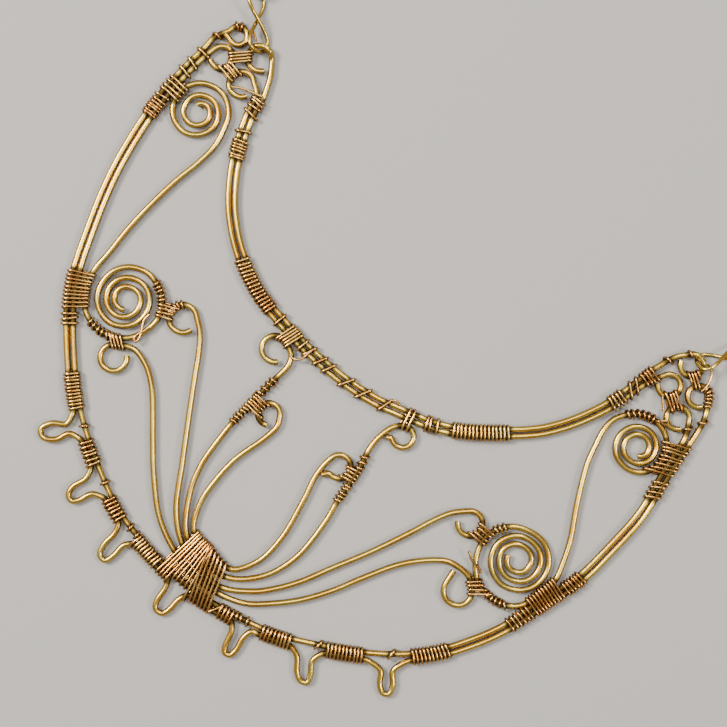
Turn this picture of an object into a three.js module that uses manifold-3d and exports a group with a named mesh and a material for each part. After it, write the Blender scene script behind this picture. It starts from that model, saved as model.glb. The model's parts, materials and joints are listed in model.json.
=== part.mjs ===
// Wire bib necklace: a flat bib of bent brass wire, bound with thin wire, on a chain of figure-eight links.
// Sizes are in millimetres. The necklace lies flat, its face up, with the clasp towards +Y.
import * as THREE from "three";
import Module from "manifold-3d";

// Overall sizes of the bib. Points in the tables are shares of these two, across from the middle and up.
const BIB_WIDTH = 114;
const BIB_DEPTH = 95;

// Wires
const WIRE = 1;
const BINDING = 0.4;
const CHAIN_WIRE = 0.7;
const CLEARANCE = 0.1;
const PAIR_GAP = 0.25;
const LANE = WIRE + PAIR_GAP;
const AXIS_HEIGHT = WIRE / 2 + CLEARANCE + BINDING;

// Round wire is drawn with flat sides, as wide as gives it the round wire's own volume.
const WIRE_SIDES = 6;
const CHAIN_SIDES = 5;
const FACET_TURN = 30;
const FACET_DEPTH = 0.085;

// Picots: loops that the outermost wire makes between its bindings
const PICOT_NECK_REACH = 2.4;
const PICOT_HEAD_REACH = 4.9;

// Chain: figure-eight links that lean to one side and the other in turn, and the loops that it hangs in
const LINKS_PER_SIDE = 15;
const LINK_RINGS = 12;
const LINK_HALF_WIDTH = 2;
const LINK_LEAN = 46;
const LINK_SEAT = 0.15;
const CHAIN_HEIGHT = LINK_HALF_WIDTH * Math.sin((LINK_LEAN * Math.PI) / 180) + CHAIN_WIRE * 0.72;
const LOOP_LIFT = CHAIN_HEIGHT - AXIS_HEIGHT;
const SEAT_DEPTH = (WIRE + CHAIN_WIRE) * 0.55 + 1.8 * CLEARANCE;

// Where the chain lifts the loop that it hangs in: the middle of the raised stretch, and how far to each
// side it stays up and comes down, in degrees round the loop.
const RAISED_AT = { left: 108, right: 74 };
const RAISED_FLAT = 32;
const RAISED_END = 74;

// Clasp: an S-shaped hook between the two ends of the chain
const CLASP_LOOP = 2.25;
const CLASP_ANGLE = 40;

const BRASS = 0xb08d48;
const COPPER = 0xa0683c;

// Middle line of the rim's two wires, from the left end down and round to the right end.
const RIM = [
  [-0.48, 0.903], [-0.485, 0.869], [-0.491, 0.804], [-0.492, 0.739], [-0.482, 0.621], [-0.458, 0.505],
  [-0.425, 0.394], [-0.376, 0.309], [-0.309, 0.221], [-0.24, 0.16], [-0.158, 0.106], [-0.069, 0.079],
  [0, 0.071], [0.045, 0.073], [0.098, 0.082], [0.157, 0.098], [0.213, 0.126], [0.26, 0.153],
  [0.31, 0.189], [0.347, 0.223], [0.378, 0.261], [0.407, 0.309], [0.435, 0.367], [0.459, 0.445],
  [0.484, 0.527], [0.495, 0.613], [0.501, 0.696], [0.496, 0.757], [0.492, 0.81], [0.489, 0.86],
];

// Middle line of the neckline's two wires, from left to right.
const NECKLINE = [
  [-0.369, 0.894], [-0.364, 0.853], [-0.353, 0.81], [-0.336, 0.762], [-0.304, 0.701], [-0.264, 0.652],
  [-0.228, 0.622], [-0.181, 0.595], [-0.13, 0.58], [-0.075, 0.568], [-0.028, 0.563], [0.012, 0.562],
  [0.062, 0.567], [0.109, 0.58], [0.155, 0.594], [0.198, 0.618], [0.26, 0.67], [0.296, 0.707],
  [0.329, 0.758], [0.359, 0.826], [0.374, 0.882], [0.386, 0.928],
];

// at is a share of the rim's length. The rest is in millimetres: the distance between the loop's feet,
// its width at the neck and at the head, how far it reaches out, and how far its tip leans to the right.
const PICOTS = [
  { at: 0.34, foot: 5.8, neck: 1.7, head: 2.7, reach: 7.4, lean: -0.4 },
  { at: 0.389, foot: 6.4, neck: 2.8, head: 2.5, reach: 6.5, lean: 0.5 },
  { at: 0.4365, foot: 4.9, neck: 2.5, head: 2.4, reach: 7, lean: 0.6 },
  { at: 0.4965, foot: 4.8, neck: 3, head: 2.5, reach: 6.5, lean: 0.1 },
  { at: 0.5575, foot: 4.1, neck: 2.3, head: 2, reach: 6.4, lean: -0.1 },
  { at: 0.614, foot: 6.5, neck: 2.8, head: 2.5, reach: 6.7, lean: 0.7 },
  { at: 0.68, foot: 8, neck: 2.1, head: 2.1, reach: 6.7, lean: 0 },
];

// Round loops at the wires' ends: centre, radius in millimetres, the angle where the wire comes in, and how
// far it turns from there, anticlockwise when positive. A loop with a tip runs on straight to that point.
const EYELETS = {
  rim_left: { centre: [-0.4535, 0.911], radius: 2.07, enter: 158, turn: -293 },
  picot_left: { centre: [-0.4542, 0.9624], radius: 1.68, enter: 180, turn: -300, tip: [-0.471, 0.95] },
  neck_inner_left: { centre: [-0.4042, 0.893], radius: 2.27, enter: 42, turn: 288 },
  neck_outer_left: { centre: [-0.4054, 0.9518], radius: 2.2, enter: 32, turn: 270, tip: [-0.388, 0.938] },
  neck_inner_right: { centre: [0.4151, 0.92], radius: 2.04, enter: 147, turn: -297 },
  neck_outer_right: { centre: [0.424, 0.9758], radius: 2.03, enter: 150, turn: -318 },
  rim_right: { centre: [0.4561, 0.8812], radius: 2.07, enter: 24, turn: 296 },
  picot_right: { centre: [0.462, 0.9367], radius: 1.96, enter: 18, turn: 307 },
  fan_1_left: { centre: [-0.3087, 0.3374], radius: 2.38, enter: 121, turn: 285 },
  fan_2_left: { centre: [-0.2583, 0.4741], radius: 2.5, enter: 40, turn: 302 },
  fan_3_left: { centre: [-0.1144, 0.5322], radius: 2.38, enter: 47, turn: 272 },
  fan_4_left: { centre: [-0.0607, 0.4273], radius: 2, enter: 20, turn: 275 },
  fan_4_right: { centre: [0.0765, 0.4268], radius: 2.12, enter: 147, turn: -256, tip: [0.062, 0.395] },
  fan_3_right: { centre: [0.1282, 0.5438], radius: 1.98, enter: 137, turn: -272, tip: [0.109, 0.524] },
  fan_2_right: { centre: [0.2943, 0.4887], radius: 2.25, enter: 137, turn: -290 },
  fan_1_right: { centre: [0.3421, 0.3732], radius: 2.57, enter: 62, turn: -235, tip: [0.318, 0.399] },
};

// Flat spirals at the ends of the two scrolls, from the outside in: the distance from the centre after
// each quarter turn, in millimetres. The last stretch is shorter than a quarter, by the angle in over.
const QUARTER = 90;
const SPIRALS = {
  upper_left: {
    centre: [-0.434, 0.805], enter: 0, hand: 1, over: 48,
    radii: [5.7, 5.1, 4.55, 4.65, 3.95, 2.95, 2.55, 2.79, 2.4, 1.5, 1.05],
  },
  lower_left: {
    centre: [-0.348, 0.441], enter: 90, hand: 1, over: 25,
    radii: [5.9, 5.2, 5.25, 4.4, 3.85, 3.6, 3.6, 2.75, 2.15, 2.12, 2.15, 2],
  },
  upper_right: {
    centre: [0.4333, 0.7918], enter: 90, hand: -1, over: 53,
    radii: [5.64, 4.85, 4.2, 3.91, 3.59, 3.15, 2.7, 2.46, 2.2, 1.9, 1.6],
  },
  lower_right: {
    centre: [0.39, 0.488], enter: 90, hand: -1, over: 80,
    radii: [5.45, 5.35, 5.3, 4.85, 4.05, 3.85, 3.7, 3.4, 2.47, 2.1, 2.2, 2.1],
  },
};

// The scrolls' stretches between their spirals, from the top to the bottom.
const LEFT_SCROLL = [
  [-0.38, 0.769], [-0.385, 0.727], [-0.396, 0.675], [-0.405, 0.613], [-0.411, 0.55], [-0.413, 0.486],
  [-0.415, 0.454], [-0.413, 0.426], [-0.403, 0.399], [-0.386, 0.375], [-0.358, 0.363], [-0.33, 0.367],
  [-0.306, 0.387], [-0.293, 0.416], [-0.29, 0.451], [-0.303, 0.481], [-0.325, 0.498],
];
const RIGHT_SCROLL = [
  [0.412, 0.848], [0.391, 0.831], [0.377, 0.807], [0.374, 0.78], [0.379, 0.743], [0.385, 0.711],
  [0.411, 0.636], [0.435, 0.578], [0.448, 0.533], [0.454, 0.499], [0.448, 0.467], [0.437, 0.427],
  [0.42, 0.408], [0.398, 0.4], [0.367, 0.404], [0.349, 0.419], [0.333, 0.446], [0.327, 0.476],
  [0.331, 0.503], [0.353, 0.534],
];

// The fan's four wires, nested one inside the next, each from its left eyelet down to the middle of the rim
// and up to its right eyelet.
const FAN = [
  [
    [-0.292, 0.373], [-0.264, 0.364], [-0.235, 0.338], [-0.182, 0.257], [-0.152, 0.211], [-0.102, 0.149],
    [-0.055, 0.117], [-0.009, 0.1], [0.042, 0.1], [0.086, 0.115], [0.119, 0.144], [0.153, 0.183],
    [0.185, 0.234], [0.211, 0.287], [0.243, 0.346], [0.273, 0.383], [0.301, 0.406], [0.325, 0.41],
    [0.344, 0.406],
  ],
  [
    [-0.225, 0.474], [-0.209, 0.446], [-0.183, 0.387], [-0.125, 0.259], [-0.086, 0.176], [-0.049, 0.135],
    [-0.01, 0.118], [0.039, 0.112], [0.085, 0.142], [0.111, 0.172], [0.136, 0.211], [0.163, 0.267],
    [0.196, 0.334], [0.227, 0.406], [0.25, 0.463], [0.262, 0.485],
  ],
  [
    [-0.088, 0.541], [-0.082, 0.521], [-0.087, 0.48], [-0.098, 0.383], [-0.1, 0.331], [-0.098, 0.272],
    [-0.084, 0.214], [-0.05, 0.152], [-0.009, 0.138], [0.037, 0.133], [0.083, 0.176], [0.107, 0.239],
    [0.111, 0.323], [0.106, 0.381], [0.104, 0.443], [0.098, 0.485], [0.098, 0.508], [0.101, 0.528],
    [0.107, 0.547],
  ],
  [
    [-0.039, 0.418], [-0.043, 0.389], [-0.061, 0.32], [-0.066, 0.257], [-0.064, 0.219], [-0.047, 0.169],
    [-0.009, 0.157], [0.035, 0.15], [0.063, 0.192], [0.071, 0.253], [0.063, 0.338], [0.056, 0.384],
    [0.056, 0.414],
  ],
];

// Bindings wound round the rim or the neckline, between two shares of its length, and the wires they hold.
const RIM_PAIR = ["rim_wire", "picot_wire"];
const FAN_WIRES = ["fan_wire_1", "fan_wire_2", "fan_wire_3", "fan_wire_4"];
const NECK_PAIR = ["neckline_lower", "neckline_upper"];
const RIM_BINDINGS = [
  { name: "rim_binding_1", from: 0.033, to: 0.048, holds: [...RIM_PAIR, "left_scroll"] },
  { name: "rim_binding_2", from: 0.055, to: 0.07, holds: RIM_PAIR },
  { name: "rim_binding_3", from: 0.212, to: 0.243, holds: [...RIM_PAIR, "left_scroll"] },
  { name: "rim_binding_4", from: 0.296, to: 0.325, holds: RIM_PAIR },
  { name: "rim_binding_5", from: 0.355, to: 0.372, holds: RIM_PAIR },
  { name: "rim_binding_6", from: 0.406, to: 0.423, holds: RIM_PAIR },
  { name: "rim_binding_7", from: 0.453, to: 0.469, holds: RIM_PAIR },
  { name: "fan_binding_left", from: 0.472, to: 0.482, holds: [...RIM_PAIR, ...FAN_WIRES] },
  { name: "fan_binding_middle", from: 0.4888, to: 0.5035, holds: ["rim_wire", ...FAN_WIRES] },
  { name: "fan_binding_right", from: 0.511, to: 0.527, holds: [...RIM_PAIR, ...FAN_WIRES] },
  { name: "rim_binding_8", from: 0.534, to: 0.545, holds: RIM_PAIR },
  { name: "rim_binding_9", from: 0.573, to: 0.595, holds: RIM_PAIR },
  { name: "rim_binding_10", from: 0.63, to: 0.659, holds: RIM_PAIR },
  { name: "rim_binding_11", from: 0.701, to: 0.732, holds: RIM_PAIR },
  { name: "rim_binding_12", from: 0.778, to: 0.796, holds: RIM_PAIR },
  { name: "rim_binding_13", from: 0.8, to: 0.84, holds: [...RIM_PAIR, "right_scroll"] },
  { name: "rim_binding_14", from: 0.843, to: 0.856, holds: RIM_PAIR },
  { name: "rim_binding_15", from: 0.942, to: 0.961, holds: RIM_PAIR },
  { name: "rim_binding_16", from: 0.967, to: 0.992, holds: [...RIM_PAIR, "right_scroll"] },
];
const NECK_BINDINGS = [
  { name: "neckline_binding_1", from: 0.018, to: 0.036, holds: NECK_PAIR },
  { name: "neckline_binding_2", from: 0.07, to: 0.1, holds: NECK_PAIR },
  { name: "neckline_binding_3", from: 0.25, to: 0.34, holds: NECK_PAIR },
  { name: "neckline_binding_4", from: 0.3765, to: 0.395, holds: [...NECK_PAIR, "fan_wire_3"] },
  { name: "neckline_binding_5", from: 0.594, to: 0.612, holds: [...NECK_PAIR, "fan_wire_3"] },
  { name: "neckline_binding_6", from: 0.669, to: 0.756, holds: NECK_PAIR },
  { name: "neckline_binding_7", from: 0.912, to: 0.939, holds: NECK_PAIR },
  { name: "neckline_binding_8", from: 0.963, to: 0.98, holds: NECK_PAIR },
];

// Bindings between two places of the bib: one wire bound to another, or wound on its own.
const CROSS_BINDINGS = [
  { name: "left_scroll_binding_1", from: [-0.368, 0.366], to: [-0.34, 0.367], holds: ["left_scroll"] },
  { name: "left_scroll_binding_2", from: [-0.32, 0.5], to: [-0.3, 0.484], holds: ["left_scroll"] },
  { name: "right_scroll_binding_1", from: [0.391, 0.4005], to: [0.409, 0.404], holds: ["right_scroll"] },
  { name: "right_scroll_binding_2", from: [0.399, 0.841], to: [0.418, 0.8515], holds: ["right_scroll"] },
  {
    name: "fan_1_left_binding", from: [-0.327, 0.361], to: [-0.313, 0.374],
    holds: ["left_scroll", "fan_wire_1"],
  },
  {
    name: "fan_1_right_binding", from: [0.358, 0.408], to: [0.367, 0.393],
    holds: ["right_scroll", "fan_wire_1"],
  },
  {
    name: "fan_2_left_binding", from: [-0.288, 0.472], to: [-0.284, 0.455],
    holds: ["left_scroll", "fan_wire_2"],
  },
  {
    name: "fan_2_right_binding", from: [0.32, 0.478], to: [0.32, 0.499],
    holds: ["right_scroll", "fan_wire_2"],
  },
  { name: "fan_3_left_binding_1", from: [-0.096, 0.372], to: [-0.091, 0.405], holds: ["fan_wire_3"] },
  {
    name: "fan_3_left_binding_2", from: [-0.0935, 0.418], to: [-0.092, 0.437],
    holds: ["fan_wire_3", "fan_wire_4"],
  },
  { name: "fan_3_left_binding_3", from: [-0.0865, 0.453], to: [-0.083, 0.482], holds: ["fan_wire_3"] },
  { name: "fan_3_right_binding_1", from: [0.106, 0.378], to: [0.105, 0.41], holds: ["fan_wire_3"] },
  {
    name: "fan_3_right_binding_2", from: [0.104, 0.416], to: [0.103, 0.44],
    holds: ["fan_wire_3", "fan_wire_4"],
  },
  { name: "fan_3_right_binding_3", from: [0.103, 0.448], to: [0.101, 0.474], holds: ["fan_wire_3"] },
  {
    name: "left_eyelet_binding_1", from: [-0.4311, 0.8956], to: [-0.4285, 0.9044],
    holds: ["rim_wire", "neckline_lower"],
  },
  {
    name: "left_eyelet_binding_2", from: [-0.4313, 0.935], to: [-0.4271, 0.9278],
    holds: ["rim_wire", "neckline_upper"],
  },
  {
    name: "right_eyelet_binding_1", from: [0.43, 0.893], to: [0.441, 0.905],
    holds: ["rim_wire", "neckline_lower"],
  },
  {
    name: "right_eyelet_binding_2", from: [0.439, 0.951], to: [0.448, 0.961],
    holds: ["neckline_upper", "picot_wire"],
  },
  { name: "right_eyelet_binding_3", from: [0.478, 0.95], to: [0.481, 0.936], holds: ["picot_wire"] },
];

// The clasp's side of the chain's route, on the right, as shares of the bib's size. The left is its mirror.
const CHAIN_ROUTE = [
  [0.504, 1.105], [0.57, 1.295], [0.592, 1.505], [0.544, 1.747], [0.412, 1.942], [0.228, 2.063], [0.1, 2.105],
];
const CLASP_PLACE = [0, 2.115];

const radians = (degrees) => (degrees * Math.PI) / 180;

function place([across, up]) {
  return new THREE.Vector3(across * BIB_WIDTH, up * BIB_DEPTH, AXIS_HEIGHT);
}

function polar(radius, degrees) {
  return new THREE.Vector3(radius * Math.cos(radians(degrees)), radius * Math.sin(radians(degrees)), 0);
}

const evenly = (count) => Array.from({ length: count + 1 }, (_, i) => i / count);

// The smooth line through some points, as points close together.
function smooth(points, step = 0.4) {
  const curve = new THREE.CatmullRomCurve3(points, false, "centripetal");
  curve.arcLengthDivisions = 12 * points.length;
  return curve.getSpacedPoints(Math.ceil(curve.getLength() / step));
}

// Drops the points of a close line that a wire's facets don't need.
function thin(line) {
  const kept = [line[0]];
  let heading = line[1].clone().sub(line[0]);
  for (let i = 1; i < line.length - 1; i++) {
    const next = line[i + 1].clone().sub(line[i]);
    const turned = next.angleTo(heading);
    const depth = (line[i].distanceTo(kept[kept.length - 1]) * turned) / 8;
    if (turned < radians(FACET_TURN) && depth < FACET_DEPTH) continue;
    kept.push(line[i]);
    heading = next;
  }
  return [...kept, line[line.length - 1]];
}

// A closed body swept along points. rings(i) gives the section's points at each one.
function sweep(rings, closed) {
  const sides = rings[0].length;
  const faces = [];
  const spans = closed ? rings.length : rings.length - 1;
  for (let i = 0; i < spans; i++) {
    const a = i * sides;
    const b = ((i + 1) % rings.length) * sides;
    for (let k = 0; k < sides; k++) {
      const n = (k + 1) % sides;
      faces.push(a + k, a + n, b + n, a + k, b + n, b + k);
    }
  }
  if (!closed) {
    const end = (rings.length - 1) * sides;
    for (let k = 1; k < sides - 1; k++) {
      faces.push(0, k + 1, k, end, end + k, end + k + 1);
    }
  }
  return solid(rings.flat(), faces);
}

function solid(points, faces) {
  const geometry = new THREE.BufferGeometry().setFromPoints(points);
  geometry.setIndex(faces);
  return geometry;
}

// The directions across and up at each point of a line whose own plane has the normal given.
function framesOf(line, normal, closed = false) {
  const last = line.length - 1;
  return line.map((at, i) => {
    const before = line[closed ? (i + last) % line.length : Math.max(i - 1, 0)];
    const after = line[closed ? (i + 1) % line.length : Math.min(i + 1, last)];
    const along = after.clone().sub(before).normalize();
    const across = normal.clone().cross(along).normalize();
    const up = along.clone().cross(across);
    return { at, along, across, up };
  });
}

function wireRings(line, diameter, sides, normal, closed) {
  const area = (Math.PI * diameter * diameter) / 4;
  const radius = Math.sqrt((2 * area) / (sides * Math.sin(radians(360 / sides))));
  return framesOf(line, normal, closed).map(({ at, across, up }) =>
    Array.from({ length: sides }, (_, k) => {
      const angle = radians((360 * k) / sides);
      return at.clone()
        .addScaledVector(across, radius * Math.cos(angle))
        .addScaledVector(up, radius * Math.sin(angle));
    }),
  );
}

// A bib wire, through the points given.
const UP = new THREE.Vector3(0, 0, 1);
function bibWire(line) {
  return sweep(wireRings(thin(line), WIRE, WIRE_SIDES, UP, false), false);
}

// The points of a round end loop, from where the wire comes in. It can be raised round the angle given.
function eyelet(name, raisedAt = null) {
  const { centre, radius, enter, turn, tip } = EYELETS[name];
  const steps = Math.ceil(Math.abs(turn) / 30);
  const points = evenly(steps).map((share) => {
    const degrees = enter + turn * share;
    const apart = raisedAt === null ? RAISED_END : Math.abs(degrees - raisedAt);
    const rise = LOOP_LIFT * (1 - THREE.MathUtils.smoothstep(apart, RAISED_FLAT, RAISED_END));
    return place(centre).add(polar(radius, degrees)).setZ(AXIS_HEIGHT + rise);
  });
  return tip ? [...points, place(tip)] : points;
}

function spiral(name) {
  const { centre, enter, hand, over, radii } = SPIRALS[name];
  const last = radii.length - 2;
  const points = [];
  for (let i = 0; i <= last; i++) {
    const span = i === last ? over : QUARTER;
    for (const share of evenly(3).slice(i ? 1 : 0)) {
      const radius = THREE.MathUtils.lerp(radii[i], radii[i + 1], share);
      points.push(place(centre).add(polar(radius, enter + hand * (QUARTER * i + span * share))));
    }
  }
  return points;
}

// A close line with the distance along it at each point.
function measured(points) {
  const line = smooth(points);
  const marks = [0];
  for (let i = 1; i < line.length; i++) marks.push(marks[i - 1] + line[i].distanceTo(line[i - 1]));
  return { line, marks, length: marks[marks.length - 1] };
}

// The point at a share of a line's length, moved outwards, which is to the right of the line's direction.
function beside({ line, marks, length }, share, out = 0) {
  const distance = share * length;
  let i = marks.findIndex((mark) => mark >= distance);
  i = Math.min(Math.max(i, 1), line.length - 1);
  const within = (distance - marks[i - 1]) / (marks[i] - marks[i - 1]);
  const along = line[i].clone().sub(line[i - 1]).normalize();
  const across = along.clone().cross(UP);
  return line[i - 1].clone().lerp(line[i], within).addScaledVector(across, out);
}

function offsetLine(path, out, shares) {
  return shares.map((share) => beside(path, share, out));
}

const rim = measured(RIM.map(place));
const neckline = measured(NECKLINE.map(place));

// One picot's points, from its left foot to its right foot.
function picot({ at, foot, neck, head, reach, lean }) {
  const shape = [
    [-foot / 2, LANE / 2],
    [(-foot - neck) / 4, PICOT_NECK_REACH / 2],
    [-neck / 2, PICOT_NECK_REACH],
    [(lean - head) / 2, PICOT_HEAD_REACH],
    [lean - head / 4, reach - head / 8],
    [lean + head / 4, reach - head / 8],
    [(lean + head) / 2, PICOT_HEAD_REACH],
    [neck / 2, PICOT_NECK_REACH],
    [(foot + neck) / 4, PICOT_NECK_REACH / 2],
    [foot / 2, LANE / 2],
  ];
  return shape.map(([along, out]) => beside(rim, at + along / rim.length, out));
}

function picotRoute() {
  const points = [];
  let share = 0;
  for (const loop of PICOTS) {
    const from = loop.at - loop.foot / 2 / rim.length;
    for (; share < from - 0.012; share += 0.02) points.push(beside(rim, share, LANE / 2));
    points.push(beside(rim, from - 0.006, LANE / 2));
    points.push(...picot(loop));
    share = loop.at + loop.foot / 2 / rim.length + 0.006;
  }
  for (; share < 1; share += 0.02) points.push(beside(rim, share, LANE / 2));
  return points;
}

const reversed = (points) => [...points].reverse();

// Every bib wire's close line, from its left end to its right end.
const ROUTES = {
  rim_wire: smooth([
    ...reversed(eyelet("rim_left")),
    ...offsetLine(rim, -LANE / 2, evenly(60)),
    ...eyelet("rim_right"),
  ]),
  picot_wire: smooth([
    ...reversed(eyelet("picot_left")),
    place([-0.4825, 0.932]),
    ...picotRoute(),
    place([0.4915, 0.904]),
    ...eyelet("picot_right"),
  ]),
  neckline_lower: smooth([
    ...reversed(eyelet("neck_inner_left")),
    ...offsetLine(neckline, LANE / 2, evenly(36).slice(0, -1)),
    ...eyelet("neck_inner_right"),
  ]),
  neckline_upper: smooth([
    ...reversed(eyelet("neck_outer_left", RAISED_AT.left)),
    place([-0.376, 0.939]),
    place([-0.369, 0.917]),
    ...offsetLine(neckline, -LANE / 2, evenly(36)),
    place([0.396, 0.97]),
    ...eyelet("neck_outer_right", RAISED_AT.right),
  ]),
  left_scroll: smooth([
    ...reversed(spiral("upper_left")),
    ...LEFT_SCROLL.map(place),
    ...spiral("lower_left"),
  ]),
  right_scroll: smooth([
    ...reversed(spiral("upper_right")),
    ...RIGHT_SCROLL.map(place),
    ...spiral("lower_right"),
  ]),
};
FAN.forEach((points, i) => {
  ROUTES["fan_wire_" + (i + 1)] = smooth([
    ...reversed(eyelet(`fan_${i + 1}_left`)),
    ...points.map(place),
    ...eyelet(`fan_${i + 1}_right`),
  ]);
});

// The sides of a wire where it crosses the line across a point, at the crossing nearest the point.
function sidesOf(route, { at, across, along }) {
  let best = null;
  let half = 0;
  for (let i = 1; i < route.length; i++) {
    const before = route[i - 1].clone().sub(at);
    const after = route[i].clone().sub(at);
    const a = before.dot(along);
    const b = after.dot(along);
    if (a * b > 0 || a === b) continue;
    const side = THREE.MathUtils.lerp(before.dot(across), after.dot(across), a / (a - b));
    if (best !== null && Math.abs(side) >= Math.abs(best)) continue;
    best = side;
    const straight = Math.abs(b - a) / route[i].distanceTo(route[i - 1]);
    half = (WIRE * 0.6) / Math.max(straight, 0.6);
  }
  return [best - half, best + half];
}

// A binding's section: a box with cut corners round the wires between two sides.
function bindingSection({ at, across, up }, low, high, grow) {
  const rise = WIRE / 2 + CLEARANCE + grow;
  const reach = CLEARANCE + grow;
  const cut = WIRE * 0.3 + grow * 0.6;
  const outline = [
    [high + reach, -rise + cut], [high + reach, rise - cut], [high + reach - cut, rise],
    [low - reach + cut, rise], [low - reach, rise - cut], [low - reach, -rise + cut],
    [low - reach + cut, -rise], [high + reach - cut, -rise],
  ];
  return outline.map(([side, height]) =>
    at.clone().addScaledVector(across, side).addScaledVector(up, height));
}

// A hollow sleeve that stands for the close turns of a binding round the wires that it holds.
function bindingSleeve(stations, holds) {
  const inner = [];
  const outer = [];
  for (const station of stations) {
    const sides = holds.flatMap((name) => sidesOf(ROUTES[name], station));
    const low = Math.min(...sides);
    const high = Math.max(...sides);
    outer.push(bindingSection(station, low, high, BINDING));
    inner.push(bindingSection(station, low, high, 0));
  }
  return tubeBetween(outer, inner);
}

// A closed tube with an outer and an inner skin.
function tubeBetween(outer, inner) {
  const sides = outer[0].length;
  const rows = outer.length;
  const points = [...outer.flat(), ...inner.flat()];
  const shift = rows * sides;
  const faces = [];
  const quad = (a, b, c, d) => faces.push(a, b, c, a, c, d);
  for (let k = 0; k < sides; k++) {
    const n = (k + 1) % sides;
    for (let i = 0; i < rows - 1; i++) {
      const a = i * sides;
      const b = a + sides;
      quad(a + k, a + n, b + n, b + k);
      quad(shift + a + k, shift + b + k, shift + b + n, shift + a + n);
    }
    const end = (rows - 1) * sides;
    quad(k, shift + k, shift + n, n);
    quad(end + k, end + n, shift + end + n, shift + end + k);
  }
  return solid(points, faces);
}

const root = new THREE.Group();

function add(name, geometry, colour, metalness = 0.9) {
  const material = new THREE.MeshStandardMaterial({ color: colour, roughness: 0.4, metalness });
  const mesh = new THREE.Mesh(geometry, material);
  mesh.name = name;
  root.add(mesh);
}

for (const [name, route] of Object.entries(ROUTES)) add(name, bibWire(route), BRASS);

// Sleeves along the rim or the neckline. One that also holds a curved wire needs sections close together.
function stationAt(path, share) {
  const at = beside(path, share);
  const along = beside(path, share + 0.001).sub(beside(path, share - 0.001)).normalize();
  const across = UP.clone().cross(along);
  return { at, along, across, up: UP };
}

function addLineBindings(path, bindings) {
  for (const { name, from, to, holds } of bindings) {
    const spacing = holds.length > 2 ? 1.4 : 4.5;
    const count = Math.max(1, Math.round(((to - from) * path.length) / spacing));
    const stations = evenly(count).map((share) => stationAt(path, from + (to - from) * share));
    add(name, bindingSleeve(stations, holds), COPPER);
  }
}
addLineBindings(rim, RIM_BINDINGS);
addLineBindings(neckline, NECK_BINDINGS);

// A binding across two wires is straight. One on a single wire follows it, between its points nearest
// the ends.
function nearestOn(route, point) {
  const distances = route.map((at) => at.distanceTo(point));
  return distances.indexOf(Math.min(...distances));
}

function stationsOn(route, from, to) {
  const first = nearestOn(route, from);
  const last = nearestOn(route, to);
  const count = Math.ceil(Math.abs(last - first) / 4);
  const line = evenly(count).map((share) => route[Math.round(THREE.MathUtils.lerp(first, last, share))]);
  return framesOf(line, UP);
}

for (const { name, from, to, holds } of CROSS_BINDINGS) {
  const ends = [place(from), place(to)];
  const stations = holds.length > 1 ? framesOf(ends, UP) : stationsOn(ROUTES[holds[0]], ...ends);
  add(name, bindingSleeve(stations, holds), COPPER);
}

// One figure-eight link between two points of the chain's route, its plane leaning to one side.
function link(from, to, lean) {
  const along = to.clone().sub(from).normalize();
  const level = UP.clone().cross(along);
  const across = level.clone()
    .multiplyScalar(Math.cos(radians(lean)))
    .addScaledVector(UP, Math.sin(radians(lean)));
  const normal = along.clone().cross(across);
  const middle = from.clone().lerp(to, 0.5);
  const reach = from.distanceTo(to) / 2;
  const line = evenly(LINK_RINGS).slice(1).map((share) => {
    const angle = 2 * Math.PI * share;
    const pass = CHAIN_WIRE * 0.62 * Math.sin(angle) ** 3;
    return middle.clone()
      .addScaledVector(along, reach * Math.cos(angle))
      .addScaledVector(across, LINK_HALF_WIDTH * Math.sin(2 * angle))
      .addScaledVector(normal, pass);
  });
  return sweep(wireRings(line, CHAIN_WIRE, CHAIN_SIDES, normal, true), true);
}

const wasm = await Module();
wasm.setup();

// The links of one side of the chain, each through the next, fused where they touch.
function chain(route, firstLean) {
  const path = measured(route);
  const overlap = CHAIN_WIRE - LINK_SEAT;
  const reach = (path.length + (LINKS_PER_SIDE - 1) * overlap) / LINKS_PER_SIDE;
  const links = [];
  for (let i = 0; i < LINKS_PER_SIDE; i++) {
    const start = i * (reach - overlap);
    const lean = i % 2 ? -firstLean : firstLean;
    const from = beside(path, start / path.length);
    const to = beside(path, (start + reach) / path.length);
    const body = link(from, to, lean);
    links.push(new wasm.Manifold(new wasm.Mesh({
      numProp: 3,
      vertProperties: body.getAttribute("position").array,
      triVerts: new Uint32Array(body.index.array),
    })));
  }
  const fused = wasm.Manifold.union(links).getMesh();
  const geometry = new THREE.BufferGeometry();
  geometry.setAttribute("position", new THREE.BufferAttribute(fused.vertProperties, 3));
  geometry.setIndex(new THREE.BufferAttribute(fused.triVerts, 1));
  return geometry;
}

// Where the end of the chain seats inside a loop, towards the way that it leaves.
function seatIn(centre, radius, towards) {
  const away = towards.clone().sub(centre).setZ(0).normalize();
  return centre.clone().addScaledVector(away, radius - SEAT_DEPTH).setZ(CHAIN_HEIGHT);
}

function chainRoute(eyeletName, side) {
  const raised = ([across, up]) => place([side * across, up]).setZ(CHAIN_HEIGHT);
  const points = CHAIN_ROUTE.map(raised);
  const { centre, radius } = EYELETS[eyeletName];
  const loop = place(CLASP_PLACE).add(new THREE.Vector3(side * CLASP_SPREAD, 0, 0));
  return [
    seatIn(place(centre), radius, points[0]),
    ...points,
    seatIn(loop, CLASP_LOOP, points[points.length - 1]),
  ];
}

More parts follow.
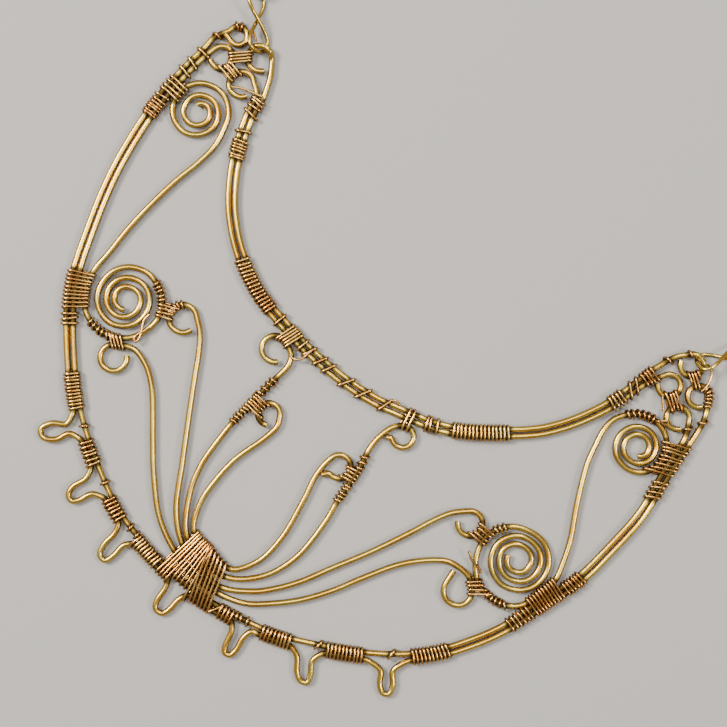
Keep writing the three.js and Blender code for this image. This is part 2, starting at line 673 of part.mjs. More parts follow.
// The hook: a round loop at each end, open on opposite sides, and the straight stretch between them.
const CLASP_SPREAD = CLASP_LOOP / Math.cos(radians(CLASP_ANGLE));
function clasp() {
  const middle = place(CLASP_PLACE).setZ(CHAIN_HEIGHT);
  const loop = (side) => evenly(10).map((share) => {
    const angle = radians(CLASP_ANGLE + (360 - 2 * CLASP_ANGLE) * share);
    const x = side * (CLASP_LOOP * Math.cos(angle) - CLASP_SPREAD);
    const y = side * CLASP_LOOP * Math.sin(angle);
    return middle.clone().add(new THREE.Vector3(x, y, 0));
  });
  return bibWire(smooth([...loop(1), ...loop(-1).reverse()]));
}

add("chain_left", chain(chainRoute("neck_outer_left", -1), LINK_LEAN), BRASS);
add("chain_right", chain(chainRoute("neck_outer_right", 1), -LINK_LEAN), BRASS);
add("clasp_hook", clasp(), BRASS);

// The origin is at the bottom middle of the whole necklace.
const box = new THREE.Box3().setFromObject(root);
const middle = box.getCenter(new THREE.Vector3());
for (const mesh of root.children) mesh.geometry.translate(-middle.x, -middle.y, -box.min.z);

export default root;
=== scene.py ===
# The looks of the wire bib necklace: aged brass wire bound with thin copper wire, lying flat, face up.
# Metres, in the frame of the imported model. Points in the tables are shares of the bib's width and depth.
import json
import math
import bpy
import numpy as np
from mathutils import Matrix, Vector

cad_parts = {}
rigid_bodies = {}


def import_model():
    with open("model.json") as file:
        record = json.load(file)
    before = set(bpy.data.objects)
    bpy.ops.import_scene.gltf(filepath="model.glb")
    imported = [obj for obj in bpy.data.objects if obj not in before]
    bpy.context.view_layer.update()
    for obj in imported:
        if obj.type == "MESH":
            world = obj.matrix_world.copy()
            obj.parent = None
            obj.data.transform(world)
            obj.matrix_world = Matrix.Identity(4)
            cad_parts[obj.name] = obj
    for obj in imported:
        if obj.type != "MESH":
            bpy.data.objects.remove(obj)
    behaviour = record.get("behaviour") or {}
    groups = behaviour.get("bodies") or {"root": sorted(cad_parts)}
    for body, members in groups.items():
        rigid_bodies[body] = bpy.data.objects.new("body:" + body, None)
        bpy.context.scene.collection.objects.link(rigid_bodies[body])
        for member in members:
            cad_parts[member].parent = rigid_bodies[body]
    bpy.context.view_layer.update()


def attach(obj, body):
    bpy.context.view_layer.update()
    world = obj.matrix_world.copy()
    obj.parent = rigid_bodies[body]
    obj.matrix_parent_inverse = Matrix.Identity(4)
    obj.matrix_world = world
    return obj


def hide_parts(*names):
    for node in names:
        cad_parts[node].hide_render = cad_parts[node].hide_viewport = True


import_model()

# Where it lies: looked at from straight above, turned as the photograph is, under a soft light from the
# upper left, a weaker one from the upper right, one from the lower right and one overhead.
VIEW_CENTRE = (0.00115, -0.0439)
VIEW_TURN = math.radians(36.75)
VIEW_WIDTH = 0.1298
LENS = 85.0
SENSOR_WIDTH = 36.0
CAMERA_HEIGHT = 0.001 + VIEW_WIDTH * LENS / SENSOR_WIDTH
SKY_COLOUR = (0.62, 0.64, 0.68)
SKY_STRENGTH = 0.42
LIGHTS = [
    # name, degrees round from image right, elevation, distance, size, watts, colour
    ("key_softbox", 152, 52, 0.75, 0.26, 6.6, (1.0, 0.97, 0.92)),
    ("low_softbox", 345, 50, 0.80, 0.22, 2.8, (1.0, 0.98, 0.95)),
    ("right_softbox", 68, 52, 0.80, 0.22, 1.7, (1.0, 0.98, 0.95)),
    ("overhead_softbox", 100, 84, 0.90, 0.36, 2.2, (1.0, 0.98, 0.94)),
]

camera_data = bpy.data.cameras.new("camera")
camera_data.lens = LENS
camera_data.sensor_width = SENSOR_WIDTH
camera = bpy.data.objects.new("camera", camera_data)
camera.location = (*VIEW_CENTRE, CAMERA_HEIGHT)
camera.rotation_euler = (0, 0, VIEW_TURN)
camera_data.clip_start = 0.01
bpy.context.scene.collection.objects.link(camera)
bpy.context.scene.camera = camera

for name, bearing, elevation, distance, size, watts, colour in LIGHTS:
    light = bpy.data.lights.new(name, "AREA")
    light.shape = "DISK"
    light.size = size
    light.energy = watts
    light.color = colour
    lamp = bpy.data.objects.new(name, light)
    turn = math.radians(bearing) + VIEW_TURN
    rise = math.radians(elevation)
    away = Vector((math.cos(rise) * math.cos(turn), math.cos(rise) * math.sin(turn), math.sin(rise)))
    lamp.location = Vector((*VIEW_CENTRE, 0)) + away * distance
    lamp.rotation_euler = away.to_track_quat("Z", "Y").to_euler()
    bpy.context.scene.collection.objects.link(lamp)

world = bpy.data.worlds.new("studio")
world.use_nodes = True
sky = world.node_tree.nodes["Background"]
sky.inputs["Color"].default_value = (*SKY_COLOUR, 1)
sky.inputs["Strength"].default_value = SKY_STRENGTH
bpy.context.scene.world = world

# The floor isn't part of the necklace: one plain pale matt sheet that it lies on, far wider than the view
# and with nothing else on it.
FLOOR_COLOUR = (0.45, 0.425, 0.395)
FLOOR_REACH = 2.0


class Value:
    """A socket of a node tree, to be used in expressions."""

    def __init__(self, tree, socket):
        self.tree = tree
        self.socket = socket

    def maths(self, operation, other=0.0, swapped=False):
        first, second = (other, self) if swapped else (self, other)
        return self.tree.node("ShaderNodeMath", {"operation": operation}, {0: first, 1: second})

    def __add__(self, other):
        return self.maths("ADD", other)

    def __sub__(self, other):
        return self.maths("SUBTRACT", other)

    def __mul__(self, other):
        return self.maths("MULTIPLY", other)

    def __truediv__(self, other):
        return self.maths("DIVIDE", other)

    def __pow__(self, other):
        return self.maths("POWER", other)

    def __rsub__(self, other):
        return self.maths("SUBTRACT", other, swapped=True)

    def __rtruediv__(self, other):
        return self.maths("DIVIDE", other, swapped=True)

    def __rpow__(self, other):
        return self.maths("POWER", other, swapped=True)

    __radd__ = __add__
    __rmul__ = __mul__


class Tree:
    """A shader's or a shape's node tree, filled node by node."""

    def __init__(self, tree):
        self.tree = tree

    def node(self, kind, settings=None, values=None, out=0):
        node = self.tree.nodes.new(kind)
        for setting, choice in (settings or {}).items():
            setattr(node, setting, choice)
        for key, value in (values or {}).items():
            socket = node.inputs[key]
            if isinstance(value, Value):
                self.tree.links.new(value.socket, socket)
            else:
                socket.default_value = value
        return Value(self, node.outputs[out]) if node.outputs else None

    def attribute(self, name, kind):
        """What a shape's points carry under a name."""
        return self.node("GeometryNodeInputNamedAttribute", {"data_type": kind}, {"Name": name})

    def noise(self, place, scale, detail):
        values = {"Vector": place, "Scale": scale, "Detail": detail}
        return self.node("ShaderNodeTexNoise", values=values)

    def eased(self, value, start, end):
        """A share that goes smoothly from 0 to 1 as the value goes from one limit to the other."""
        values = {"Value": value, "From Min": start, "From Max": end}
        return self.node("ShaderNodeMapRange", {"interpolation_type": "SMOOTHSTEP"}, values)

    def mix(self, share, one, other):
        """A colour between two, by a share."""
        one, other = (colour if isinstance(colour, Value) else (*colour, 1) for colour in (one, other))
        return self.node("ShaderNodeMix", {"data_type": "RGBA"}, {0: share, 6: one, 7: other}, 2)


def finish_of(name):
    """A new material, its node tree and its surface node."""
    material = bpy.data.materials.new(name)
    material.use_nodes = True
    tree = Tree(material.node_tree)
    return material, tree, material.node_tree.nodes["Principled BSDF"]


def join(tree, value, surface, socket):
    tree.tree.links.new(value.socket, surface.inputs[socket])


floor_material, tree, surface = finish_of("pale_floor")
surface.inputs["Base Color"].default_value = (*FLOOR_COLOUR, 1)
surface.inputs["Roughness"].default_value = 0.9
floor_mesh = bpy.data.meshes.new("floor")
corners = [(x * FLOOR_REACH, y * FLOOR_REACH, 0) for x, y in ((-1, -1), (1, -1), (1, 1), (-1, 1))]
floor_mesh.from_pydata(corners, [], [(0, 1, 2, 3)])
floor_mesh.materials.append(floor_material)
floor = bpy.data.objects.new("floor", floor_mesh)
bpy.context.scene.collection.objects.link(floor)

# The bib's main wires: 1 mm round brass, bent by hand round pegs and pliers, aged to a greenish gold, with
# painted shade that turns them brown on their flanks and undersides, so the top looks bright. Each wire is
# one swept tube along a route.
BIB_WIDTH = 0.114
BIB_DEPTH = 0.095
WIRE = 0.001
BINDING = 0.0004
CLEARANCE = 0.0001
PAIR_GAP = 0.00025
LANE = WIRE + PAIR_GAP
AXIS_HEIGHT = WIRE / 2 + CLEARANCE + BINDING
ORIGIN = np.array((0.000056, 0.101823, 0.0))
WIRE_SIDES = 16
WIRE_RADIUS = 0.00053
BRASS_TOP = (0.80, 0.55, 0.10)
BRASS_WARM = (0.76, 0.42, 0.055)
BRASS_SPECK_AND_SHADE = (0.075, 0.034, 0.007)
BRASS_BINDING_SHADE = (0.035, 0.017, 0.007)
PAINTED_SHADE_SHARE = 0.9
BINDING_SHADE_SHARE = 0.92
SPOT_SHARE = 0.14

RIM = [
    (-0.48, 0.903), (-0.485, 0.869), (-0.491, 0.804), (-0.492, 0.739), (-0.482, 0.621), (-0.458, 0.505),
    (-0.425, 0.394), (-0.376, 0.309), (-0.309, 0.221), (-0.24, 0.16), (-0.158, 0.106), (-0.069, 0.079),
    (0, 0.071), (0.045, 0.073), (0.098, 0.082), (0.157, 0.098), (0.213, 0.126), (0.26, 0.153),
    (0.31, 0.189), (0.347, 0.223), (0.378, 0.261), (0.407, 0.309), (0.435, 0.367), (0.459, 0.445),
    (0.484, 0.527), (0.495, 0.613), (0.501, 0.696), (0.496, 0.757), (0.492, 0.81), (0.489, 0.86),
]
NECKLINE = [
    (-0.369, 0.894), (-0.364, 0.853), (-0.353, 0.81), (-0.336, 0.762), (-0.304, 0.701), (-0.264, 0.652),
    (-0.228, 0.622), (-0.181, 0.595), (-0.13, 0.58), (-0.075, 0.568), (-0.028, 0.563), (0.012, 0.562),
    (0.062, 0.567), (0.109, 0.58), (0.155, 0.594), (0.198, 0.618), (0.26, 0.67), (0.296, 0.707),
    (0.329, 0.758), (0.359, 0.826), (0.374, 0.882), (0.386, 0.928),
]
# Picots: share of the rim's length, then in millimetres the feet's distance, the widths at neck and head,
# the reach and the lean.
PICOTS = [
    (0.34, 5.8, 1.7, 2.7, 7.4, -0.4),
    (0.389, 6.4, 2.8, 2.5, 6.5, 0.5),
    (0.4365, 4.9, 2.5, 2.4, 7, 0.6),
    (0.4965, 4.8, 3, 2.5, 6.5, 0.1),
    (0.5575, 4.1, 2.3, 2, 6.4, -0.1),
    (0.614, 6.5, 2.8, 2.5, 6.7, 0.7),
    (0.68, 8, 2.1, 2.1, 6.7, 0),
]
PICOT_NECK_REACH = 0.0024
PICOT_HEAD_REACH = 0.0049
# Between picots the wire has a point at each such share of the rim's length, and one just before each foot.
PICOT_STEP = 0.02
PICOT_LEAD = 0.006
# Round end loops: centre, radius in millimetres, where the wire comes in and how far it turns, in degrees,
# and the point that it runs on to where it ends straight.
EYELETS = {
    "rim_left": ((-0.4535, 0.911), 2.07, 158, -293, None),
    "picot_left": ((-0.4542, 0.9624), 1.68, 180, -300, (-0.471, 0.95)),
    "neck_inner_left": ((-0.4042, 0.893), 2.27, 42, 288, None),
    "neck_outer_left": ((-0.4054, 0.9518), 2.2, 32, 270, (-0.388, 0.938)),
    "neck_inner_right": ((0.4151, 0.92), 2.04, 147, -297, None),
    "neck_outer_right": ((0.424, 0.9758), 2.03, 150, -318, None),
    "rim_right": ((0.4561, 0.8812), 2.07, 24, 296, None),
    "picot_right": ((0.462, 0.9367), 1.96, 18, 307, None),
    "fan_1_left": ((-0.3087, 0.3374), 2.38, 121, 285, None),
    "fan_2_left": ((-0.2583, 0.4741), 2.5, 40, 302, None),
    "fan_3_left": ((-0.1144, 0.5322), 2.38, 47, 272, None),
    "fan_4_left": ((-0.0607, 0.4273), 2, 20, 275, None),
    "fan_4_right": ((0.0765, 0.4268), 2.12, 147, -256, (0.062, 0.395)),
    "fan_3_right": ((0.1282, 0.5438), 1.98, 137, -272, (0.109, 0.524)),
    "fan_2_right": ((0.2943, 0.4887), 2.25, 137, -290, None),
    "fan_1_right": ((0.3421, 0.3732), 2.57, 62, -235, (0.318, 0.399)),
}
# Points between an end loop and the rail that it goes on to.
LEADS = {
    "picot_left": [(-0.4825, 0.932)],
    "picot_right": [(0.4915, 0.904)],
    "neck_outer_left": [(-0.376, 0.939), (-0.369, 0.917)],
    "neck_outer_right": [(0.396, 0.97)],
}
# Points along the rim's and the neckline's wires.
RIM_POINTS = 60
NECK_POINTS = 36
# Flat spirals: centre, where the wire comes in, its hand, the last stretch's degrees, and the radius after
# each quarter turn in millimetres.
SPIRALS = {
    "upper_left": (
        (-0.434, 0.805), 0, 1, 48, (5.7, 5.1, 4.55, 4.65, 3.95, 2.95, 2.55, 2.79, 2.4, 1.5, 1.05)),
    "lower_left": (
        (-0.348, 0.441), 90, 1, 25, (5.9, 5.2, 5.25, 4.4, 3.85, 3.6, 3.6, 2.75, 2.15, 2.12, 2.15, 2)),
    "upper_right": (
        (0.4333, 0.7918), 90, -1, 53, (5.64, 4.85, 4.2, 3.91, 3.59, 3.15, 2.7, 2.46, 2.2, 1.9, 1.6)),
    "lower_right": (
        (0.39, 0.488), 90, -1, 80, (5.45, 5.35, 5.3, 4.85, 4.05, 3.85, 3.7, 3.4, 2.47, 2.1, 2.2, 2.1)),
}
LEFT_SCROLL = [
    (-0.38, 0.769), (-0.385, 0.727), (-0.396, 0.675), (-0.405, 0.613), (-0.411, 0.55), (-0.413, 0.486),
    (-0.415, 0.454), (-0.413, 0.426), (-0.403, 0.399), (-0.386, 0.375), (-0.358, 0.363), (-0.33, 0.367),
    (-0.306, 0.387), (-0.293, 0.416), (-0.29, 0.451), (-0.303, 0.481), (-0.325, 0.498),
]
RIGHT_SCROLL = [
    (0.412, 0.848), (0.391, 0.831), (0.377, 0.807), (0.374, 0.78), (0.379, 0.743), (0.385, 0.711),
    (0.411, 0.636), (0.435, 0.578), (0.448, 0.533), (0.454, 0.499), (0.448, 0.467), (0.437, 0.427),
    (0.42, 0.408), (0.398, 0.4), (0.367, 0.404), (0.349, 0.419), (0.333, 0.446), (0.327, 0.476),
    (0.331, 0.503), (0.353, 0.534),
]
FAN = [
    [
        (-0.292, 0.373), (-0.264, 0.364), (-0.235, 0.338), (-0.182, 0.257), (-0.152, 0.211),
        (-0.102, 0.149), (-0.055, 0.117), (-0.009, 0.1), (0.042, 0.1), (0.086, 0.115), (0.119, 0.144),
        (0.153, 0.183),
        (0.185, 0.234), (0.211, 0.287), (0.243, 0.346), (0.273, 0.383), (0.301, 0.406), (0.325, 0.41),
        (0.344, 0.406),
    ],
    [
        (-0.225, 0.474), (-0.209, 0.446), (-0.183, 0.387), (-0.125, 0.259), (-0.086, 0.176),
        (-0.049, 0.135), (-0.01, 0.118), (0.039, 0.112), (0.085, 0.142), (0.111, 0.172), (0.136, 0.211),
        (0.163, 0.267), (0.196, 0.334), (0.227, 0.406), (0.25, 0.463), (0.262, 0.485),
    ],
    [
        (-0.088, 0.541), (-0.082, 0.521), (-0.087, 0.48), (-0.098, 0.383), (-0.1, 0.331), (-0.098, 0.272),
        (-0.084, 0.214), (-0.05, 0.152), (-0.009, 0.138), (0.037, 0.133), (0.083, 0.176), (0.107, 0.239),
        (0.111, 0.323), (0.106, 0.381), (0.104, 0.443), (0.098, 0.485), (0.098, 0.508), (0.101, 0.528),
        (0.107, 0.547),
    ],
    [
        (-0.039, 0.418), (-0.043, 0.389), (-0.061, 0.32), (-0.066, 0.257), (-0.064, 0.219), (-0.047, 0.169),
        (-0.009, 0.157), (0.035, 0.15), (0.063, 0.192), (0.071, 0.253), (0.063, 0.338), (0.056, 0.384),
        (0.056, 0.414),
    ],
]
# The chain lifts the loops that it hangs in. In degrees: the direction of the raised stretch's middle, how
# far from it the wire stays level, and how far from it the wire is down again.
LINK_HALF_WIDTH = 0.002
LINK_LEAN = math.radians(46)
CHAIN_WIRE = 0.0007
LINK_CLEAR = 0.72
CHAIN_HEIGHT = LINK_HALF_WIDTH * math.sin(LINK_LEAN) + CHAIN_WIRE * LINK_CLEAR
LOOP_LIFT = CHAIN_HEIGHT - AXIS_HEIGHT
RAISED_AT = {"neck_outer_left": 108, "neck_outer_right": 74}
RAISED_FLAT = 32
RAISED_END = 74
# How finely lines are drawn: metres between points, steps between given points, degrees a step in a loop,
# and steps in a quarter turn of a spiral.
LINE_STEP = 0.0004
CURVE_STEPS = 16
LOOP_STEP = 15
SPIRAL_STEPS = 3


def place(point):
    return np.array((point[0] * BIB_WIDTH, point[1] * BIB_DEPTH, AXIS_HEIGHT)) - ORIGIN


def places(points):
    return [place(point) for point in points]


def polar(radius, degrees):
    angle = math.radians(degrees)
    return np.array((radius * math.cos(angle), radius * math.sin(angle), 0.0))


def smooth(points):
    """The smooth line through some points, as points close together."""
    points = np.array(points)
    padded = np.vstack((2 * points[0] - points[1], points, 2 * points[-1] - points[-2]))
    fine = []
    for before, start, end, after in zip(padded, padded[1:], padded[2:], padded[3:]):
        pairs = ((before, start), (start, end), (end, after))
        spans = [max(np.linalg.norm(b - a), 1e-9) ** 0.5 for a, b in pairs]
        first, middle, last = spans
        leave = (start - before) / first - (end - before) / (first + middle) + (end - start) / middle
        reach = (end - start) / middle - (after - start) / (middle + last) + (after - end) / last
        leave, reach = leave * middle, reach * middle
        t = np.linspace(0, 1, CURVE_STEPS, endpoint=False)[:, None]
        fine.append(
            (2 * t**3 - 3 * t**2 + 1) * start + (t**3 - 2 * t**2 + t) * leave
            + (3 * t**2 - 2 * t**3) * end + (t**3 - t**2) * reach)
    fine = np.vstack((*fine, points[-1:]))
    marks = np.concatenate(([0], np.cumsum(np.linalg.norm(np.diff(fine, axis=0), axis=1))))
    even = np.linspace(0, marks[-1], math.ceil(marks[-1] / LINE_STEP) + 1)
    return np.stack([np.interp(even, marks, fine[:, k]) for k in range(3)], axis=1)


def length_of(line):
    return float(np.linalg.norm(np.diff(line, axis=0), axis=1).sum())


def beside(line, share, out=0.0):
    """The point at a share of a line's length, moved outwards, and the line's direction there."""
    at = min(max(share, 0.0), 1.0) * (len(line) - 1)
    i = min(int(at), len(line) - 2)
    along = line[i + 1] - line[i]
    along = along / np.linalg.norm(along)
    extra = (share - min(max(share, 0.0), 1.0)) * length_of(line)
    point = line[i] + (line[i + 1] - line[i]) * (at - i) + along * extra
    return point + out * np.cross(along, (0, 0, 1)), along


def eyelet(name):
    """A round end loop's points from its rail on, with the point where its wire ends."""
    centre, radius, enter, turn, tip = EYELETS[name]
    steps = math.ceil(abs(turn) / LOOP_STEP)
    points = []
    for i in range(steps + 1):
        degrees = enter + turn * i / steps
        apart = abs(degrees - RAISED_AT[name]) if name in RAISED_AT else RAISED_END
        share = min(max((apart - RAISED_FLAT) / (RAISED_END - RAISED_FLAT), 0), 1)
        rise = LOOP_LIFT * (1 - share * share * (3 - 2 * share))
        points.append(place(centre) + polar(radius / 1000, degrees) + np.array((0, 0, rise)))
    return points if tip is None else [*points, place(tip)]


def spiral(name):
    centre, enter, hand, over, radii = SPIRALS[name]
    points = []
    for i in range(len(radii) - 1):
        span = over if i == len(radii) - 2 else 90
        for step in range(1 if i else 0, SPIRAL_STEPS + 1):
            radius = radii[i] + (radii[i + 1] - radii[i]) * step / SPIRAL_STEPS
            degrees = enter + hand * (90 * i + span * step / SPIRAL_STEPS)
            points.append(place(centre) + polar(radius / 1000, degrees))
    return points


def picot(at, foot, neck, head, reach, lean):
    foot, neck, head, reach, lean = (size / 1000 for size in (foot, neck, head, reach, lean))
    shape = [
        (-foot / 2, LANE / 2), ((-foot - neck) / 4, PICOT_NECK_REACH / 2), (-neck / 2, PICOT_NECK_REACH),
        ((lean - head) / 2, PICOT_HEAD_REACH), (lean - head / 4, reach - head / 8),
        (lean + head / 4, reach - head / 8), ((lean + head) / 2, PICOT_HEAD_REACH),
        (neck / 2, PICOT_NECK_REACH), ((foot + neck) / 4, PICOT_NECK_REACH / 2), (foot / 2, LANE / 2),
    ]
    return [beside(rim, at + along / rim_length, out)[0] for along, out in shape]


def picot_route():
    points = []
    share = 0.0
    for loop in PICOTS:
        half_foot = loop[1] / 2000 / rim_length
        while share < loop[0] - half_foot - 2 * PICOT_LEAD:
            points.append(beside(rim, share, LANE / 2)[0])
            share += PICOT_STEP
        points.append(beside(rim, loop[0] - half_foot - PICOT_LEAD, LANE / 2)[0])
        points += picot(*loop)
        share = loop[0] + half_foot + PICOT_LEAD
    while share < 1:
        points.append(beside(rim, share, LANE / 2)[0])
        share += PICOT_STEP
    return points


rim = smooth(places(RIM))
rim_length = length_of(rim)
neckline = smooth(places(NECKLINE))

ROUTES = {
    "rim_wire": smooth([
        *eyelet("rim_left")[::-1],
        *(beside(rim, i / RIM_POINTS, -LANE / 2)[0] for i in range(RIM_POINTS + 1)),
        *eyelet("rim_right"),
    ]),
    "picot_wire": smooth([
        *eyelet("picot_left")[::-1],
        *places(LEADS["picot_left"]),
        *picot_route(),
        *places(LEADS["picot_right"]),
        *eyelet("picot_right"),
    ]),
    "neckline_lower": smooth([
        *eyelet("neck_inner_left")[::-1],
        *(beside(neckline, i / NECK_POINTS, LANE / 2)[0] for i in range(NECK_POINTS)),
        *eyelet("neck_inner_right"),
    ]),
    "neckline_upper": smooth([
        *eyelet("neck_outer_left")[::-1],
        *places(LEADS["neck_outer_left"]),
        *(beside(neckline, i / NECK_POINTS, -LANE / 2)[0] for i in range(NECK_POINTS + 1)),
        *places(LEADS["neck_outer_right"]),
        *eyelet("neck_outer_right"),
    ]),
    "left_scroll": smooth([
        *spiral("upper_left")[::-1],
        *places(LEFT_SCROLL),
        *spiral("lower_left"),
    ]),
    "right_scroll": smooth([
        *spiral("upper_right")[::-1],
        *places(RIGHT_SCROLL),
        *spiral("lower_right"),
    ]),
}
for number, points in enumerate(FAN, 1):
    ROUTES[f"fan_wire_{number}"] = smooth([
        *eyelet(f"fan_{number}_left")[::-1],
        *places(points),
        *eyelet(f"fan_{number}_right"),
    ])

brass, tree, surface = finish_of("aged_brass")
object_place = tree.node("ShaderNodeTexCoord", out="Object")
facing = tree.node("ShaderNodeNewGeometry", out="Normal")
# How far the surface faces up decides where the painted shade on the flanks begins, with an edge that
# wanders a little.
up_share = tree.node("ShaderNodeSeparateXYZ", values={0: facing}, out="Z")
patches = tree.noise(object_place, scale=160.0, detail=4.0)
specks = tree.noise(object_place, scale=1500.0, detail=3.0)
tarnish = tree.noise(object_place, scale=420.0, detail=5.0)
painted_flank_shade = tree.eased(up_share + (tarnish - 0.5) * 0.16, 0.84, 0.2)
spots = tree.eased(specks * 0.5 + tarnish * 0.5, 0.56, 0.68)
warm = tree.eased(patches, 0.38, 0.66)
golden = tree.mix(warm, BRASS_TOP, BRASS_WARM)
browned = tree.mix(spots * SPOT_SHARE, golden, BRASS_SPECK_AND_SHADE)
bound = tree.node("ShaderNodeAttribute", {"attribute_name": "bound"}, out="Fac")
# Painted shade: this mix turns the flanks and undersides brown. The same brown also colours the random
# specks above.
specked_and_shaded = tree.mix(painted_flank_shade * PAINTED_SHADE_SHARE, browned, BRASS_SPECK_AND_SHADE)
# Painted shade: the main wires are darkened where the thin wire covers them.
join(tree, tree.mix(bound * BINDING_SHADE_SHARE, specked_and_shaded, BRASS_BINDING_SHADE), surface, "Base Color")
join(tree, 0.17 + tarnish * 0.14 + painted_flank_shade * 0.2 + bound * 0.3, surface, "Roughness")
surface.inputs["Metallic"].default_value = 1.0
dents = tree.noise(object_place, scale=450.0, detail=1.5)
bump = tree.node("ShaderNodeBump", values={"Height": dents, "Strength": 0.06, "Distance": 0.0001})
join(tree, bump, surface, "Normal")


def shape_tree(name, inputs):
    """A new geometry tree with named inputs, and its values by name."""
    group = bpy.data.node_groups.new(name, "GeometryNodeTree")
    group.interface.new_socket("Geometry", in_out="INPUT", socket_type="NodeSocketGeometry")
    for label, kind in inputs:
        group.interface.new_socket(label, in_out="INPUT", socket_type=kind)
    group.interface.new_socket("Geometry", in_out="OUTPUT", socket_type="NodeSocketGeometry")
    tree = Tree(group)
    entry = group.nodes.new("NodeGroupInput")
    values = {socket.name: Value(tree, socket) for socket in entry.outputs if socket.name}
    return group, tree, values


def swept(tree, line, given, caps=True):
    """A round tube along a line, as thick and as many-sided as the tree's inputs say."""
    ring = {"Resolution": given["Sides"], "Radius": given["Radius"]}
    section = tree.node("GeometryNodeCurvePrimitiveCircle", values=ring)
    parts = {"Curve": line, "Profile Curve": section, "Fill Caps": caps}
    return tree.node("GeometryNodeCurveToMesh", values=parts)


def finish_shape(tree, shape, finish):
    """Ends a geometry tree: smooth faces, the finish, and real geometry."""
    shape = tree.node("GeometryNodeSetShadeSmooth", values={"Geometry": shape})
    shape = tree.node("GeometryNodeRealizeInstances", values={"Geometry": shape})
    shape = tree.node("GeometryNodeSetMaterial", values={"Geometry": shape, "Material": finish})
    tree.node("NodeGroupOutput", values={"Geometry": shape})


def make_piece(name, line, group, settings, attributes=None):
    """A piece made by a geometry tree from a line of points, turned into a plain mesh."""
    mesh = bpy.data.meshes.new(name + "_line")
    mesh.from_pydata(line.tolist(), [(i, i + 1) for i in range(len(line) - 1)], [])
    for label, values in (attributes or {}).items():
        values = np.array(values, dtype=np.float32)
        kind = "FLOAT_VECTOR" if values.ndim == 2 else "FLOAT"
        attribute = mesh.attributes.new(label, kind, "POINT")
        attribute.data.foreach_set("vector" if values.ndim == 2 else "value", values.ravel())
    piece = bpy.data.objects.new(name, mesh)
    bpy.context.scene.collection.objects.link(piece)
    modifier = piece.modifiers.new("shape", "NODES")
    modifier.node_group = group
    for item in group.interface.items_tree:
        if item.in_out == "INPUT" and item.name in settings:
            modifier[item.identifier] = settings[item.name]
    shaped = piece.evaluated_get(bpy.context.evaluated_depsgraph_get())
    finished = bpy.data.meshes.new_from_object(shaped)
    finished.name = name
    piece.modifiers.remove(modifier)
    piece.data = finished
    bpy.data.meshes.remove(mesh)
    return piece


round_wire, tree, given = shape_tree("round_wire", [
    ("Radius", "NodeSocketFloat"), ("Sides", "NodeSocketInt"), ("Finish", "NodeSocketMaterial")])
centre_line = tree.node("GeometryNodeMeshToCurve", values={"Mesh": given["Geometry"]})
finish_shape(tree, swept(tree, centre_line, given), given["Finish"])

# The bindings: thin copper wire wound by hand in close turns round the wires that they hold, a little
# uneven in pitch and slant. Each binding is one helix that hugs its wires from side to side, and there are
# loose single turns too.
COPPER_BRIGHT = (0.93, 0.57, 0.16)
COPPER_RED = (0.72, 0.32, 0.08)
COPPER_PAINTED_SHADE = (0.07, 0.026, 0.010)
THIN_WIRE = 0.00045
THIN_SIDES = 10
TURN_STEPS = 24
TURN_START = math.radians(-100)
HAIR = 0.00001
HUG = WIRE_RADIUS + THIN_WIRE / 2 + HAIR
# How square a turn is round several wires, how far it strays from them and how much it wanders along them.
SQUARENESS = 0.75
STRAY = 0.0002
WANDER = 1.1
SEED_STEP = 7.3
# The picot wire is let go further from the middle line than this.
PICOT_AWAY = 0.00098
# A wire crossed at a slant counts as wider, but no more than for this cosine.
STEEPEST = 0.6
STATION_STEP = 0.0003
CENTRE_UNEVENNESS = 0.35
CROSS_UNEVENNESS = 0.6
EXTRA_UNEVENNESS = 0.5
# A loose turn takes this much of the line's length before and after its place, and stands this far off.
LOOSE_REACH = 0.0012
LOOSE_SLACK = 0.00006

copper, tree, surface = finish_of("binding_copper")
object_place = tree.node("ShaderNodeTexCoord", out="Object")
facing = tree.node("ShaderNodeNewGeometry", out="Normal")
up_share = tree.node("ShaderNodeSeparateXYZ", values={0: facing}, out="Z")
patches = tree.noise(object_place, scale=180.0, detail=3.0)
tarnish = tree.noise(object_place, scale=900.0, detail=4.0)
painted_flank_shade = tree.eased(up_share + (tarnish - 0.5) * 0.2, 0.85, 0.2)
red = tree.eased(patches * 0.7 + tarnish * 0.3, 0.38, 0.62)
coppery = tree.mix(red, COPPER_BRIGHT, COPPER_RED)
# Painted shade: the flanks of each turn are darkened, which also darkens the gaps between turns.
join(tree, tree.mix(painted_flank_shade * PAINTED_SHADE_SHARE, coppery, COPPER_PAINTED_SHADE), surface, "Base Color")
join(tree, 0.13 + tarnish * 0.12 + painted_flank_shade * 0.2, surface, "Roughness")
surface.inputs["Metallic"].default_value = 1.0
scratches = tree.noise(object_place, scale=2600.0, detail=3.0)
bump = tree.node("ShaderNodeBump", values={"Height": scratches, "Strength": 0.06, "Distance": 0.00004})
join(tree, bump, surface, "Normal")

wound_wire, tree, given = shape_tree("wound_wire", [
    ("Turns", "NodeSocketFloat"), ("Start", "NodeSocketFloat"), ("Steps", "NodeSocketInt"),
    ("Radius", "NodeSocketFloat"), ("Sides", "NodeSocketInt"), ("Rise", "NodeSocketFloat"),
    ("Slack", "NodeSocketFloat"), ("Lift", "NodeSocketFloat"), ("Pitch", "NodeSocketFloat"),
    ("Unevenness", "NodeSocketFloat"), ("Seed", "NodeSocketFloat"), ("Finish", "NodeSocketMaterial")])
centre_line = tree.node("GeometryNodeMeshToCurve", values={"Mesh": given["Geometry"]})
centre_line = tree.node(
    "GeometryNodeResampleCurve", {"mode": "COUNT"},
    {"Curve": centre_line, "Count": given["Turns"] * given["Steps"] + 1})
turn = tree.node("GeometryNodeSplineParameter") * given["Turns"]
phase = turn * (2 * math.pi) + given["Start"]
low = tree.attribute("low", "FLOAT")
high = tree.attribute("high", "FLOAT")
